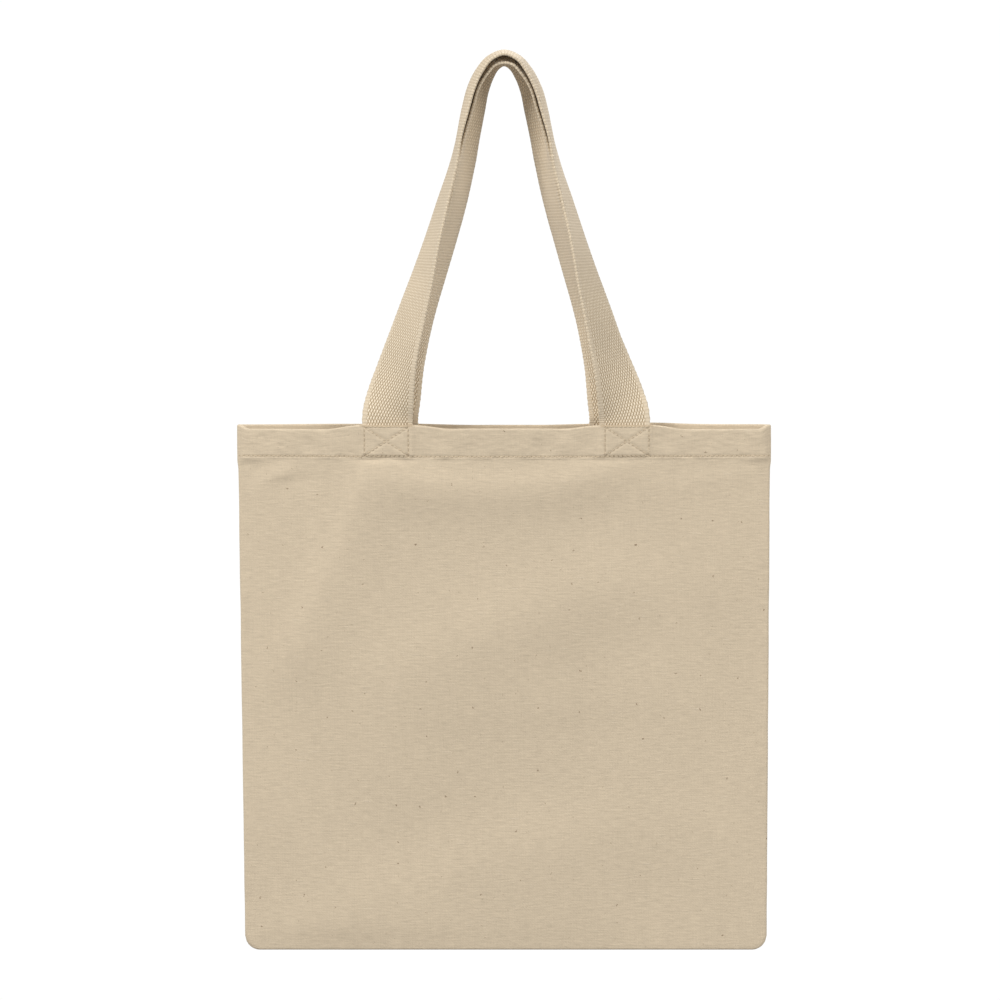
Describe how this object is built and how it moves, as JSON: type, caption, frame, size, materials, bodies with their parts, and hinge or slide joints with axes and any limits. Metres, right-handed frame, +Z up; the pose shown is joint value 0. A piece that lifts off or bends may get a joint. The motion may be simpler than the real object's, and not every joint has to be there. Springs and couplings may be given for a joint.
{
  "type": "canvas tote bag",
  "caption": "Flat open-topped canvas tote bag with a turned-in stitched hem and two webbing handles, hanging by the handles.",
  "frame": {"origin": "hang point: axis of the rod, peg or hook that lies under the arch of the inner handle, midway across the webbing", "axes": "+Z up, +X across the bag to the right as seen from the front, +Y from the front panel to the back panel"},
  "size_m": [0.4, 0.057, 0.6775],
  "materials": {
    "canvas": "matte plain weave",
    "webbing": "matte ribbed weave",
    "thread": "matte"
  },
  "bodies": {
    "seams": {"left_seam_allowance": "canvas", "left_seam_stitch": "thread", "left_seam_overlock": "thread", "right_seam_allowance": "canvas", "right_seam_stitch": "thread", "right_seam_overlock": "thread", "bottom_seam_allowance": "canvas", "bottom_seam_stitch": "thread", "bottom_seam_overlock": "thread"},
    "front_side": {"front_panel": "canvas", "front_hem_stitch": "thread", "front_handle_end_left": "webbing", "front_box_stitch_left": "thread", "front_handle_end_right": "webbing", "front_box_stitch_right": "thread"},
    "back_side": {"back_panel": "canvas", "back_hem_stitch": "thread", "back_handle_end_left": "webbing", "back_box_stitch_left": "thread", "back_handle_end_right": "webbing", "back_box_stitch_right": "thread"},
    "front_handle": {"front_handle": "webbing"},
    "back_handle": {"back_handle": "webbing"}
  },
  "joints": [
    {"name": "front_mouth_opening", "type": "hinge", "parent": "seams", "child": "front_side", "pos_m": [0, 0, -0.6555], "axis": [1, 0, 0], "range_deg": [0, 4]},
    {"name": "back_mouth_opening", "type": "hinge", "parent": "seams", "child": "back_side", "pos_m": [0, 0, -0.6555], "axis": [-1, 0, 0], "range_deg": [0, 4]},
    {"name": "front_handle_fold", "type": "hinge", "parent": "front_side", "child": "front_handle", "pos_m": [0, -0.01167, -0.246], "axis": [1, 0, 0], "range_deg": [0, 120]},
    {"name": "back_handle_fold", "type": "hinge", "parent": "back_side", "child": "back_handle", "pos_m": [0, 0.01206, -0.246], "axis": [-1, 0, 0], "range_deg": [0, 120]}
  ],
  "couplings": [
    {"joint": "back_mouth_opening", "follows": "front_mouth_opening", "ratio": 1}
  ]
}
